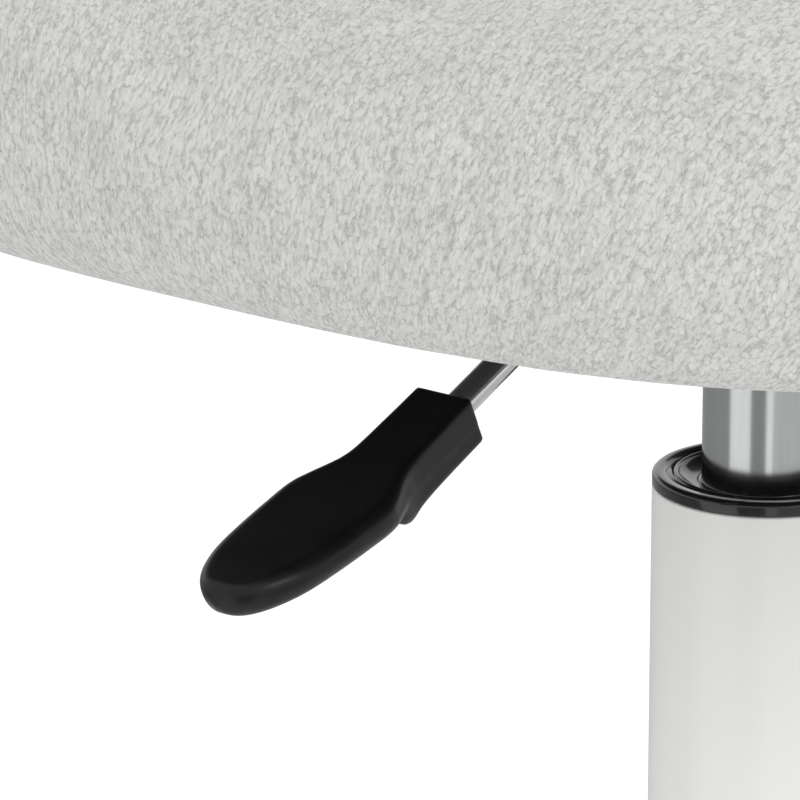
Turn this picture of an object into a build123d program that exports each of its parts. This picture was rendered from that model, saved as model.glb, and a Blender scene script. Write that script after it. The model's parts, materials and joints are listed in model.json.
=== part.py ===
from build123d import *
import os
from math import cos, pi, radians, sin, tan

# Adjustable swivel stool: five-arm base on twin-wheel casters, gas column, upholstered seat.
# Millimetres, +Z up. The origin is on the floor under the column axis. The lever points to -X.

# ---- casters ----
WHEEL_RADIUS = 25.0
WHEEL_WIDTH = 19.0
WHEEL_INNER_Y = 3.8
WHEEL_EDGE_ROUND = 3.0
AXLE_RADIUS = 3.0
AXLE_HALF_LENGTH = 19.5
CASTER_TRAIL = 17.0
WEB_THICKNESS = 6.4
HOOD_INNER_RADIUS = 26.2
HOOD_OUTER_RADIUS = 28.6
HOOD_HALF_WIDTH = 23.4
HOOD_LOWER_EDGE = 31.0
BOSS_RADIUS = 10.0
BOSS_TOP = 60.0
STEM_RADIUS = 5.5
STEM_BOTTOM = 48.0
STEM_TOP = 86.0
STEM_COLLAR_RADIUS = 7.5
CASTER_HEADINGS = (20.0, 165.0, 250.0, 75.0, 310.0)

# ---- star base ----
ARM_COUNT = 5
ARM_FIRST_ANGLE = 90.0
SOCKET_CIRCLE_RADIUS = 250.0
SOCKET_BOTTOM = 62.0
SOCKET_TOP = 90.0
SOCKET_RADIUS = 13.5
HUB_BOTTOM = 88.0
HUB_TOP = 150.0
HUB_RADIUS = 33.0
# each arm section: distance from the axis, width, underside height, top height
ARM_SECTIONS = ((22.0, 38.0, 92.0, 144.0), (120.0, 33.0, 82.0, 121.0), (252.0, 27.0, 64.0, 91.0))
ARM_CORNER = 5.0
ARM_WALL = 4.0

# ---- gas column ----
FIT = 0.05
TUBE_RADIUS = 25.0
TUBE_WALL = 1.5
TUBE_BOTTOM = 70.0
TUBE_TOP = 300.0
TAPER = 1 / 40
COLLAR_TOP = 303.2
BUSHING_BOTTOM = 225.0
CYLINDER_RADIUS = 14.0
CYLINDER_WALL = 1.6
CYLINDER_BOTTOM = 95.0
CYLINDER_TOP = 352.0
ROD_RADIUS = 5.0
ROD_TAIL_RADIUS = 4.0
ROD_BOTTOM = 63.0
PISTON_BOTTOM = 245.0
PISTON_TOP = 256.0
END_PLATE_TOP = TUBE_BOTTOM + 3.0
WASHER_THICKNESS = 2.0
BALL_RADIUS = 2.0
BALL_COUNT = 8
BALL_CIRCLE_RADIUS = 9.0

# ---- seat mechanism ----
SLEEVE_BOTTOM = 330.0
SLEEVE_RADIUS = 18.0
SHEET = 2.5
BRACKET_BOTTOM = 353.5
BRACKET_HALF_X = 30.0
BRACKET_HALF_Y = 24.0
PLATE_TOP = 379.4
PLATE_HALF_WIDTH = 80.0
BOLT_HALF_SPACING = 62.0
BOLT_RADIUS = 3.0
PIVOT_X = -22.0
PIVOT_Z = 368.2
PIVOT_RADIUS = 2.5
PIVOT_SLEEVE_RADIUS = 4.5
PIVOT_SLEEVE_HALF = 15.0
RELEASE_PIN_RADIUS = 2.5
RELEASE_PIN_TOP = 357.4

# ---- release lever ----
LEVER_Z = 361.0
LEVER_RADIUS = 3.2
LEVER_TIP_X = 3.0
LEVER_BEND_X = -66.0
LEVER_BEND_RADIUS = 20.0
LEVER_DROOP = 24.0
HANDLE_START = 47.6
HANDLE_LENGTH = 76.0
HANDLE_HOLE_DEPTH = 26.0
HANDLE_LIFT = 8.0
HANDLE_THICKNESS = 8.0
SOCKET_UP = 5.8
SOCKET_DOWN = 5.8
# half widths of the handle at distances from its socket end
HANDLE_OUTLINE = ((0.0, 7.6), (12.0, 7.7), (20.0, 8.3), (28.0, 10.6), (36.0, 13.7), (45.0, 14.0),
                  (54.0, 13.4), (62.0, 12.1), (69.0, 9.2))
HANDLE_EDGE_ROUND = 2.4

# ---- seat ----
SEAT_HALF_WIDTH = 200.0
SEAT_EXPONENT = 2.8
SEAT_BOTTOM = 380.0
SEAT_TOP = 456.0
SEAT_LOWER_ROUND = 22.0
SEAT_UPPER_ROUND = 34.0
COVER_THICKNESS = 2.0
COVER_OPENING = 164.0
BOARD_HALF_WIDTH = 182.0
BOARD_BOTTOM = SEAT_BOTTOM + COVER_THICKNESS
BOARD_TOP = BOARD_BOTTOM + 12.0
DUST_COVER_HALF_WIDTH = 174.0
T_NUT_FLANGE_RADIUS = 9.5
T_NUT_BARREL_RADIUS = 4.0

MIN_Z = (Align.CENTER, Align.CENTER, Align.MIN)


def save(node, *solids):
    """Write one named piece, or a group of identical pieces, as a STEP file."""
    export_step(Compound(children=list(solids)), f"parts/{node}.step")


def bar(radius, bottom, top, x=0.0, y=0.0):
    """A vertical round bar between two heights."""
    return Pos(x, y, bottom) * Cylinder(radius, top - bottom, align=MIN_Z)


def ring(outer, inner, bottom, top):
    """A vertical round ring between two heights."""
    return bar(outer, bottom, top) - bar(inner, bottom - 1, top + 1)


def turned(*profile):
    """A solid turned about the Z axis from (radius, height) points."""
    return revolve(Plane.XZ * make_face(Polyline(*profile, close=True)), Axis.Z)


def cross_bar(radius, half_length, x, z):
    """A round bar along Y, centred on the XZ plane."""
    return Pos(x, 0, z) * Rot(90, 0, 0) * Cylinder(radius, 2 * half_length)


def soft_square(half_width, bottom, top):
    """A slab with the seat's plan: a square whose sides bow out into its corners."""
    outline = []
    for step in range(32):
        angle = 2 * pi * step / 32
        reach = abs(cos(angle)) ** SEAT_EXPONENT + abs(sin(angle)) ** SEAT_EXPONENT
        reach = half_width * reach ** (-1 / SEAT_EXPONENT)
        outline.append((reach * cos(angle), reach * sin(angle)))
    return Pos(0, 0, bottom) * extrude(make_face(Spline(*outline, periodic=True)), amount=top - bottom)


def cushion(inset):
    """The seat's outer form, moved inwards by inset all over."""
    slab = soft_square(SEAT_HALF_WIDTH - inset, SEAT_BOTTOM + inset, SEAT_TOP - inset)
    slab = fillet(slab.edges().sort_by(Axis.Z)[-1], SEAT_UPPER_ROUND - inset)
    return fillet(slab.edges().sort_by(Axis.Z)[0], SEAT_LOWER_ROUND - inset)


# ------------------------------------------------------------------ star base


def arm(inset, drop):
    """One arm along +X, lofted through its sections; inset and drop give its hollow inside."""
    sections = []
    for distance, width, underside, top in ARM_SECTIONS:
        low = underside - drop
        high = top - inset
        plane = Plane((distance, 0, (low + high) / 2), x_dir=(0, 1, 0), z_dir=(1, 0, 0))
        corner = ARM_CORNER - inset / 2
        sections.append(plane * RectangleRounded(width - 2 * inset, high - low, corner))
    return loft(sections, ruled=True)


def make_star_base():
    """Five hollow arms on a hub with a tapered bore; each arm ends in a caster socket."""
    limb = arm(0.0, 0.0) + bar(SOCKET_RADIUS, SOCKET_BOTTOM, SOCKET_TOP, SOCKET_CIRCLE_RADIUS)
    hollow = arm(ARM_WALL, 8.0)
    hollow &= Pos(135, 0, 100) * Box(190, 100, 200)
    limb -= hollow
    for rib_x in (75.0, 120.0, 165.0, 208.0):
        limb += arm(0.0, 0.0) & Pos(rib_x, 0, 100) * Box(3, 60, 200)
    limb += bar(SOCKET_RADIUS, SOCKET_BOTTOM, SOCKET_TOP - 4, SOCKET_CIRCLE_RADIUS)
    hub = turned((0, HUB_BOTTOM), (HUB_RADIUS - 2, HUB_BOTTOM), (HUB_RADIUS, HUB_BOTTOM + 2),
                 (HUB_RADIUS - 1, HUB_TOP - 3), (HUB_RADIUS - 4, HUB_TOP), (0, HUB_TOP))
    base = hub
    for number in range(ARM_COUNT):
        base += Rot(0, 0, ARM_FIRST_ANGLE + number * 360 / ARM_COUNT) * limb
    base -= turned((0, HUB_BOTTOM - 30), (tube_radius(HUB_BOTTOM - 30), HUB_BOTTOM - 30),
                   (tube_radius(HUB_TOP), HUB_TOP), (TUBE_RADIUS, HUB_TOP + 10), (0, HUB_TOP + 10))
    for number in range(ARM_COUNT):
        place = Rot(0, 0, ARM_FIRST_ANGLE + number * 360 / ARM_COUNT)
        base -= place * bar(STEM_RADIUS + FIT, SOCKET_BOTTOM - 1, STEM_TOP + 1, SOCKET_CIRCLE_RADIUS)
    return base


def tube_radius(height):
    """Outer radius of the outer tube, which tapers below the top of the hub."""
    return TUBE_RADIUS - max(0.0, HUB_TOP - height) * TAPER


# ------------------------------------------------------------------ gas column


def make_column_body():
    """Outer tube and what stays still inside it."""
    lower = tube_radius(TUBE_BOTTOM)
    save("outer_tube", turned(
        (lower, TUBE_BOTTOM), (TUBE_RADIUS, HUB_TOP), (TUBE_RADIUS, TUBE_TOP),
        (TUBE_RADIUS - TUBE_WALL, TUBE_TOP), (TUBE_RADIUS - TUBE_WALL, HUB_TOP),
        (lower - TUBE_WALL, TUBE_BOTTOM)))
    bore = CYLINDER_RADIUS + FIT
    sleeve = TUBE_RADIUS - TUBE_WALL
    save("guide_bushing", turned(
        (bore, BUSHING_BOTTOM), (sleeve, BUSHING_BOTTOM), (sleeve, TUBE_TOP),
        (TUBE_RADIUS, TUBE_TOP), (TUBE_RADIUS, COLLAR_TOP - 1.0), (TUBE_RADIUS - 1.0, COLLAR_TOP),
        (21.4, COLLAR_TOP), (21.0, COLLAR_TOP - 0.7), (20.4, COLLAR_TOP - 0.7), (20.0, COLLAR_TOP),
        (18.6, COLLAR_TOP), (17.6, COLLAR_TOP - 2.4), (bore + 1.4, COLLAR_TOP - 2.4),
        (bore + 0.6, COLLAR_TOP - 1.2), (bore, COLLAR_TOP - 1.2)))
    plate_top_radius = tube_radius(END_PLATE_TOP) - TUBE_WALL
    save("tube_end_plate", turned(
        (ROD_TAIL_RADIUS + FIT, TUBE_BOTTOM), (lower - TUBE_WALL, TUBE_BOTTOM),
        (plate_top_radius, END_PLATE_TOP), (ROD_TAIL_RADIUS + FIT, END_PLATE_TOP)))
    washer_top = END_PLATE_TOP + WASHER_THICKNESS
    save("thrust_washer_lower", ring(13.0, ROD_TAIL_RADIUS + 0.4, END_PLATE_TOP, washer_top))
    ball_height = washer_top + BALL_RADIUS
    balls = []
    cage = ring(12.5, ROD_TAIL_RADIUS + 0.6, ball_height - 0.8, ball_height + 0.8)
    for number in range(BALL_COUNT):
        place = Rot(0, 0, number * 360 / BALL_COUNT) * Pos(BALL_CIRCLE_RADIUS, 0, ball_height)
        balls.append(place * Sphere(BALL_RADIUS - 0.02))
        cage -= place * Cylinder(BALL_RADIUS + 0.1, 4)
    save("bearing_balls", *balls)
    save("ball_cage", cage)
    stop_top = CYLINDER_BOTTOM - 2.0
    save("bump_stop", ring(19.5, 14.5, END_PLATE_TOP, stop_top))
    return ball_height + BALL_RADIUS


def make_piston_rod(race_height):
    """The rod stands on the thrust bearing and turns with the seat; it doesn't rise."""
    washer_top = race_height + WASHER_THICKNESS
    save("thrust_washer_upper", ring(12.0, ROD_TAIL_RADIUS, race_height, washer_top))
    clip_top = TUBE_BOTTOM - 0.4
    groove = ring(ROD_TAIL_RADIUS + 1, 3.2, clip_top - 1.2, clip_top)
    tail = bar(ROD_TAIL_RADIUS, ROD_BOTTOM, washer_top)
    shank = bar(ROD_RADIUS, washer_top, PISTON_BOTTOM)
    nose = bar(ROD_TAIL_RADIUS, PISTON_BOTTOM, PISTON_TOP + 3)
    save("piston_rod", tail + shank + nose - groove)
    clip = ring(7.5, 3.2, clip_top - 1.2, clip_top)
    clip -= Pos(6, 0, clip_top) * Box(12, 5.6, 6)
    save("retaining_clip", clip)
    inner = CYLINDER_RADIUS - CYLINDER_WALL
    middle = (PISTON_BOTTOM + PISTON_TOP) / 2
    piston = ring(inner - 0.1, ROD_TAIL_RADIUS, PISTON_BOTTOM, PISTON_TOP)
    save("piston", piston - ring(inner + 1, inner - 2.1, middle - 1.5, middle + 1.5))
    save("piston_seal", ring(inner - FIT, inner - 2.1, middle - 1.5, middle + 1.5))


def make_gas_cylinder():
    """Polished pressure cylinder with its lower seal, valve plug and release pin."""
    top_radius = CYLINDER_RADIUS - (CYLINDER_TOP - SLEEVE_BOTTOM) * TAPER
    inner = CYLINDER_RADIUS - CYLINDER_WALL
    save("pressure_cylinder", turned(
        (CYLINDER_RADIUS - 1, CYLINDER_BOTTOM), (CYLINDER_RADIUS, CYLINDER_BOTTOM + 1.5),
        (CYLINDER_RADIUS, SLEEVE_BOTTOM), (top_radius, CYLINDER_TOP - 0.5),
        (top_radius - 0.5, CYLINDER_TOP), (9.0, CYLINDER_TOP), (9.0, CYLINDER_TOP - 3),
        (inner - 1, CYLINDER_TOP - 3), (inner - 1, CYLINDER_TOP - 16), (inner, CYLINDER_TOP - 16),
        (inner, CYLINDER_BOTTOM)))
    save("cylinder_seal", ring(inner, ROD_RADIUS + FIT, CYLINDER_BOTTOM + 1, CYLINDER_BOTTOM + 14))
    plug = bar(inner - 1, CYLINDER_TOP - 15, CYLINDER_TOP - 3) + bar(9.0, CYLINDER_TOP - 3, CYLINDER_TOP)
    plug -= bar(RELEASE_PIN_RADIUS + FIT, CYLINDER_TOP - 16, CYLINDER_TOP + 1)
    save("valve_plug", plug)
    pin = bar(RELEASE_PIN_RADIUS, CYLINDER_TOP - 12, RELEASE_PIN_TOP)
    save("release_pin", chamfer(pin.edges().sort_by(Axis.Z)[-1], 0.5))


# ------------------------------------------------------------------ seat mechanism


def make_mechanism():
    """Tapered sleeve, folded bracket, seat plate and lever pivot."""
    bore_top = CYLINDER_RADIUS - (BRACKET_BOTTOM - SLEEVE_BOTTOM) * TAPER
    save("mechanism_sleeve", turned(
        (CYLINDER_RADIUS, SLEEVE_BOTTOM), (SLEEVE_RADIUS - 1, SLEEVE_BOTTOM),
        (SLEEVE_RADIUS, SLEEVE_BOTTOM + 1), (SLEEVE_RADIUS, BRACKET_BOTTOM), (bore_top, BRACKET_BOTTOM)))
    plate_bottom = PLATE_TOP - SHEET
    height = plate_bottom - BRACKET_BOTTOM
    bracket = Pos(0, 0, BRACKET_BOTTOM) * Box(2 * BRACKET_HALF_X, 2 * BRACKET_HALF_Y, height, align=MIN_Z)
    bracket = fillet(bracket.edges().filter_by(Axis.X).sort_by(Axis.Z)[0:2], 4.0)
    room = Pos(0, 0, BRACKET_BOTTOM + SHEET) * Box(
        2 * BRACKET_HALF_X + 2, 2 * (BRACKET_HALF_Y - SHEET), height, align=MIN_Z)
    room = fillet(room.edges().filter_by(Axis.X).sort_by(Axis.Z)[0:2], 1.5)
    bracket -= room
    bracket -= bar(14.5, BRACKET_BOTTOM - 1, BRACKET_BOTTOM + SHEET + 1)
    bracket -= cross_bar(PIVOT_RADIUS, BRACKET_HALF_Y + 5, PIVOT_X, PIVOT_Z)
    save("mechanism_bracket", bracket)
    plate = Pos(0, 0, plate_bottom) * extrude(
        RectangleRounded(2 * PLATE_HALF_WIDTH, 2 * PLATE_HALF_WIDTH, 14.0), amount=SHEET)
    pin = cross_bar(PIVOT_RADIUS, BRACKET_HALF_Y + 3.5, PIVOT_X, PIVOT_Z)
    clips = []
    for side in (-1, 1):
        clip = Cylinder(4.2, 1.0) - Cylinder(PIVOT_RADIUS, 2.0)
        clips.append(Pos(PIVOT_X, side * (BRACKET_HALF_Y + 1.5), PIVOT_Z) * Rot(90, 0, 0) * clip)
    save("pivot_pin", chamfer(pin.edges().filter_by(GeomType.CIRCLE), 0.5))
    save("pivot_clips", *clips)
    screws = []
    washers = []
    nuts = []
    for x in (-BOLT_HALF_SPACING, BOLT_HALF_SPACING):
        for y in (-BOLT_HALF_SPACING, BOLT_HALF_SPACING):
            plate -= bar(BOLT_RADIUS + 0.4, plate_bottom - 1, PLATE_TOP + 1, x, y)
            head = Pos(x, y, plate_bottom - 5.0) * Cylinder(5.6, 3.8, align=MIN_Z)
            head = fillet(head.edges().sort_by(Axis.Z)[0], 1.6)
            socket = extrude(RegularPolygon(2.3, 6), amount=2.4)
            head -= Pos(x, y, plate_bottom - 5.1) * socket
            screws.append(head + bar(BOLT_RADIUS, plate_bottom - 1.2, BOARD_TOP - 0.5, x, y))
            washer = Cylinder(7.0, 1.2, align=MIN_Z) - Cylinder(BOLT_RADIUS + 0.2, 4)
            washers.append(Pos(x, y, plate_bottom - 1.2) * washer)
            nut = bar(T_NUT_FLANGE_RADIUS, BOARD_TOP, BOARD_TOP + 1.5, x, y)
            nut += bar(T_NUT_BARREL_RADIUS, BOARD_TOP - 8, BOARD_TOP, x, y)
            nuts.append(nut - bar(BOLT_RADIUS, BOARD_TOP - 10, BOARD_TOP + 5, x, y))
    save("mechanism_plate", plate)
    save("plate_screws", *screws)
    save("screw_washers", *washers)
    save("t_nuts", *nuts)


# ------------------------------------------------------------------ release lever


def droop_plane():
    """Plane along the drooping part of the lever: X along the rod, Y sideways, Z up from the rod."""
    start = (LEVER_BEND_X - HANDLE_START * cos(radians(LEVER_DROOP)),
             0, LEVER_Z - HANDLE_START * sin(radians(LEVER_DROOP)))
    along = (-cos(radians(LEVER_DROOP)), 0, -sin(radians(LEVER_DROOP)))
    up = (-sin(radians(LEVER_DROOP)), 0, cos(radians(LEVER_DROOP)))
    return Plane(start, x_dir=along, z_dir=up)


def make_lever():
    """Bent steel rod on a pivot sleeve, with a moulded paddle handle."""
    reach = HANDLE_START + HANDLE_HOLE_DEPTH - 1
    end = (LEVER_BEND_X - reach * cos(radians(LEVER_DROOP)), 0, LEVER_Z - reach * sin(radians(LEVER_DROOP)))
    path = FilletPolyline((LEVER_TIP_X, 0, LEVER_Z), (LEVER_BEND_X, 0, LEVER_Z), end,
                          radius=LEVER_BEND_RADIUS)
    section = Plane((LEVER_TIP_X, 0, LEVER_Z), z_dir=(-1, 0, 0)) * Circle(LEVER_RADIUS)
    rod = sweep(section, path=path)
    pivot_hole = cross_bar(PIVOT_SLEEVE_RADIUS, 30, PIVOT_X, PIVOT_Z)
    save("lever_rod", rod - pivot_hole)
    pivot = cross_bar(PIVOT_SLEEVE_RADIUS, PIVOT_SLEEVE_HALF, PIVOT_X, PIVOT_Z)
    save("lever_pivot_sleeve", pivot - cross_bar(PIVOT_RADIUS + FIT, 40, PIVOT_X, PIVOT_Z))
    place = droop_plane()
    lift = tan(radians(HANDLE_LIFT))
    bend = 22.0
    tip_top = SOCKET_UP + (HANDLE_LENGTH - bend) * lift
    step_up = SOCKET_UP + 12.0 * lift - HANDLE_THICKNESS
    side = Plane.XZ * make_face(Polyline(
        (0, -SOCKET_DOWN), (26, -SOCKET_DOWN), (bend + 14, step_up),
        (HANDLE_LENGTH + 1, tip_top - HANDLE_THICKNESS), (HANDLE_LENGTH + 1, tip_top),
        (bend, SOCKET_UP), (0, SOCKET_UP), close=True))
    body = extrude(side, amount=20, both=True)
    far = [(x, y) for x, y in HANDLE_OUTLINE]
    near = [(x, -y) for x, y in reversed(HANDLE_OUTLINE)]
    tip = [(HANDLE_LENGTH, 0.0)]
    outline = Spline(*far, *tip, *near, tangents=[(1, 0), (-1, 0)])
    plan = make_face(Curve() + [outline, Line(near[-1], far[0])])
    body &= Pos(0, 0, -20) * extrude(plan, amount=60)
    for radius in (HANDLE_EDGE_ROUND, HANDLE_EDGE_ROUND * 0.6, HANDLE_EDGE_ROUND * 0.3):
        try:
            body = fillet(body.edges(), radius)
            break
        except Exception:
            print("handle edge round refused at", radius)
    hole = Rot(0, 90, 0) * Cylinder(LEVER_RADIUS, 2 * HANDLE_HOLE_DEPTH)
    save("lever_handle", place * (body - hole))


# ------------------------------------------------------------------ seat


def make_seat():
    """Plywood board, foam, fabric cover and dust cover."""
    board = soft_square(BOARD_HALF_WIDTH, BOARD_BOTTOM, BOARD_TOP)
    board += soft_square(COVER_OPENING - 1, SEAT_BOTTOM, BOARD_BOTTOM)
    inner = cushion(COVER_THICKNESS)
    cover = cushion(0.0) - inner - soft_square(COVER_OPENING, SEAT_BOTTOM - 5, BOARD_BOTTOM + 1)
    # the same plan turned a quarter, so that its seam lies away from the seam of the cushion form
    foam = inner - Rot(0, 0, 90) * soft_square(BOARD_HALF_WIDTH + 0.1, BOARD_BOTTOM - 10, BOARD_TOP)
    dust = soft_square(DUST_COVER_HALF_WIDTH, PLATE_TOP, SEAT_BOTTOM)
    for x in (-BOLT_HALF_SPACING, BOLT_HALF_SPACING):
        for y in (-BOLT_HALF_SPACING, BOLT_HALF_SPACING):
            board -= bar(T_NUT_BARREL_RADIUS, BOARD_TOP - 8, BOARD_TOP + 1, x, y)
            board -= bar(BOLT_RADIUS, SEAT_BOTTOM - 1, BOARD_TOP + 1, x, y)
            foam -= bar(T_NUT_FLANGE_RADIUS, BOARD_TOP - 1, BOARD_TOP + 1.5, x, y)
            dust -= bar(BOLT_RADIUS, PLATE_TOP - 1, SEAT_BOTTOM + 1, x, y)
    save("seat_board", board)
    save("seat_foam", foam)
    save("seat_cover", cover)
    save("dust_cover", dust)


# ------------------------------------------------------------------ casters


def make_caster(number, arm_angle, heading):
    """One twin-wheel caster: stem, hood, axle and two wheels."""
    angle = radians(arm_angle)
    place = Pos(SOCKET_CIRCLE_RADIUS * cos(angle), SOCKET_CIRCLE_RADIUS * sin(angle), 0)
    place = place * Rot(0, 0, heading)
    stem = bar(STEM_RADIUS, STEM_BOTTOM, STEM_TOP)
    stem = chamfer(stem.edges().sort_by(Axis.Z)[-1], 1.0)
    stem += bar(STEM_COLLAR_RADIUS, BOSS_TOP, BOSS_TOP + 1.5)
    hood = cross_bar(HOOD_OUTER_RADIUS, HOOD_HALF_WIDTH, CASTER_TRAIL, WHEEL_RADIUS)
    hood -= Pos(CASTER_TRAIL, 0, HOOD_LOWER_EDGE - 50) * Box(100, 100, 100)
    hood += bar(BOSS_RADIUS, 40.0, BOSS_TOP)
    wheel_room = cross_bar(HOOD_INNER_RADIUS, HOOD_HALF_WIDTH + 5, CASTER_TRAIL, WHEEL_RADIUS)
    web = cross_bar(20.0, WEB_THICKNESS / 2, CASTER_TRAIL, WHEEL_RADIUS)
    web += cross_bar(HOOD_INNER_RADIUS + 1, WEB_THICKNESS / 2, CASTER_TRAIL, WHEEL_RADIUS) & Pos(
        CASTER_TRAIL, 0, HOOD_LOWER_EDGE + 50) * Box(100, 100, 100)
    hood = hood - wheel_room + web
    hood -= bar(STEM_RADIUS, STEM_BOTTOM, BOSS_TOP + 1)
    hood -= cross_bar(AXLE_RADIUS, 30, CASTER_TRAIL, WHEEL_RADIUS)
    axle = cross_bar(AXLE_RADIUS, AXLE_HALF_LENGTH, CASTER_TRAIL, WHEEL_RADIUS)
    save(f"caster_stem_{number}", place * stem)
    save(f"caster_hood_{number}", place * hood)
    save(f"caster_axle_{number}", place * axle)
    outer_y = WHEEL_INNER_Y + WHEEL_WIDTH
    edge = WHEEL_EDGE_ROUND
    wheel = turned(
        (AXLE_RADIUS + FIT, WHEEL_INNER_Y), (8.0, WHEEL_INNER_Y), (8.0, WHEEL_INNER_Y + 3),
        (20.0, WHEEL_INNER_Y + 3), (20.0, WHEEL_INNER_Y), (WHEEL_RADIUS - 1, WHEEL_INNER_Y),
        (WHEEL_RADIUS, WHEEL_INNER_Y + 1), (WHEEL_RADIUS, outer_y - edge),
        (WHEEL_RADIUS - edge * 0.3, outer_y - edge * 0.3), (WHEEL_RADIUS - edge, outer_y),
        (20.5, outer_y), (19.0, outer_y - 1.2), (11.0, outer_y - 1.2), (9.0, outer_y - 0.2),
        (0, outer_y - 0.2), (0, AXLE_HALF_LENGTH + 0.5), (AXLE_RADIUS + FIT, AXLE_HALF_LENGTH + 0.5))
    for side, turn in (("left", -90), ("right", 90)):
        seated = Pos(CASTER_TRAIL, 0, WHEEL_RADIUS) * Rot(turn, 0, 0) * wheel
        save(f"wheel_{number}_{side}", place * seated)


def main():
    """Build every piece of the stool."""
    os.makedirs("parts", exist_ok=True)
    save("star_base", make_star_base())
    race_height = make_column_body()
    make_piston_rod(race_height)
    make_gas_cylinder()
    make_mechanism()
    make_lever()
    make_seat()
    for index, heading in enumerate(CASTER_HEADINGS):
        make_caster(index + 1, ARM_FIRST_ANGLE + index * 360 / ARM_COUNT, heading)


main()
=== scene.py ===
"""Looks of an adjustable swivel stool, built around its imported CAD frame."""

import json
import logging
import math
from dataclasses import dataclass, field
from enum import Enum
from typing import Callable, Iterable, Sequence

import bmesh
import bpy
from mathutils import Matrix, Vector


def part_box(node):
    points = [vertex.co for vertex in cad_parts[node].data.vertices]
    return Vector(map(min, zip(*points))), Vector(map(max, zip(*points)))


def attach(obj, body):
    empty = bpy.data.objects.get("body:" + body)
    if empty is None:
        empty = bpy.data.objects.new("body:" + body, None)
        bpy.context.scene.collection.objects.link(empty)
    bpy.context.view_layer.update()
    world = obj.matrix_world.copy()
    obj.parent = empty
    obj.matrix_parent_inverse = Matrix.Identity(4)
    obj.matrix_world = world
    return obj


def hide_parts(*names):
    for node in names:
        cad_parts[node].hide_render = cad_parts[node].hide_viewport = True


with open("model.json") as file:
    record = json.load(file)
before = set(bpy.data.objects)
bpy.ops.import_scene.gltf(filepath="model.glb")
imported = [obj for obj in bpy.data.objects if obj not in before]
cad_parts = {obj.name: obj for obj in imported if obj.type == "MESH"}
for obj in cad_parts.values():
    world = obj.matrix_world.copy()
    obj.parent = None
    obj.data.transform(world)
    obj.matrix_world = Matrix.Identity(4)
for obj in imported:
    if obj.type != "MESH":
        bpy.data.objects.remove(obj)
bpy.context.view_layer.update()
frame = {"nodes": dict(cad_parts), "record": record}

log = logging.getLogger("stool")

MM = 0.001
COLUMN_TAPER = 1 / 40
STAGE_DEPTH = 0.2 * MM
Point = tuple[float, float, float]
Profile = Sequence[tuple[float, float]]
Piece = bpy.types.Object
Socket = bpy.types.NodeSocket


class Slot(Enum):
    """Material slots of the record that new pieces take their finish from."""

    FABRIC = "fabric"
    DUST_CLOTH = "dust_cloth"
    WHITE_PAINT = "white_paint"
    CHROME = "chrome"
    ZINC_STEEL = "zinc_steel"
    BLACK_STEEL = "black_steel"
    GLOSS_BLACK = "gloss_black"
    SATIN_BLACK = "satin_black"


# ------ modelling bench


def deselect() -> None:
    """Leave edit mode and clear the selection."""
    if bpy.context.object and bpy.context.object.mode != "OBJECT":
        bpy.ops.object.mode_set(mode="OBJECT")
    for item in list(bpy.context.selected_objects):
        item.select_set(False)


def take(piece: Piece) -> None:
    """Select one piece alone and make it active.

    Args:
        piece: The object to work on.
    """
    deselect()
    piece.select_set(True)
    bpy.context.view_layer.objects.active = piece


def pick(piece: Piece, wanted: Callable[[bmesh.types.BMVert], bool]) -> None:
    """Select vertices of the piece in edit mode by a test, and what they enclose.

    Args:
        piece: The object, already in edit mode.
        wanted: Test on a vertex.
    """
    shape = bmesh.from_edit_mesh(piece.data)
    for vert in shape.verts:
        vert.select = bool(wanted(vert))
    shape.select_mode = {"VERT"}
    shape.select_flush(True)
    bmesh.update_edit_mesh(piece.data)


def apply_modifier(piece: Piece, kind: str, **settings: object) -> None:
    """Add a modifier with its settings and apply it.

    Args:
        piece: The object to change.
        kind: Blender's name of the modifier type.
        settings: Values of the modifier's properties.
    """
    take(piece)
    modifier = piece.modifiers.new(kind.title(), kind)
    for key, value in settings.items():
        setattr(modifier, key, value)
    bpy.ops.object.modifier_apply(modifier=modifier.name)


def settle(piece: Piece, name: str, smooth_deg: float = 35.0) -> Piece:
    """Put the piece's place into its mesh, name it and smooth its shading.

    Args:
        piece: The finished object.
        name: Its name.
        smooth_deg: Edges sharper than this stay crisp.

    Returns:
        The same object.
    """
    take(piece)
    bpy.ops.object.transform_apply(location=True, rotation=True, scale=True)
    bpy.ops.object.shade_smooth_by_angle(angle=math.radians(smooth_deg))
    piece.name = name
    piece.data.name = name
    return piece


def clean(piece: Piece, gap: float = 0.00002) -> None:
    """Merge doubled vertices and point every face outwards.

    Args:
        piece: The object to clean.
        gap: Vertices nearer than this are merged.
    """
    take(piece)
    bpy.ops.object.mode_set(mode="EDIT")
    bpy.ops.mesh.select_all(action="SELECT")
    bpy.ops.mesh.remove_doubles(threshold=gap)
    bpy.ops.mesh.normals_make_consistent(inside=False)
    bpy.ops.object.mode_set(mode="OBJECT")


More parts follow.
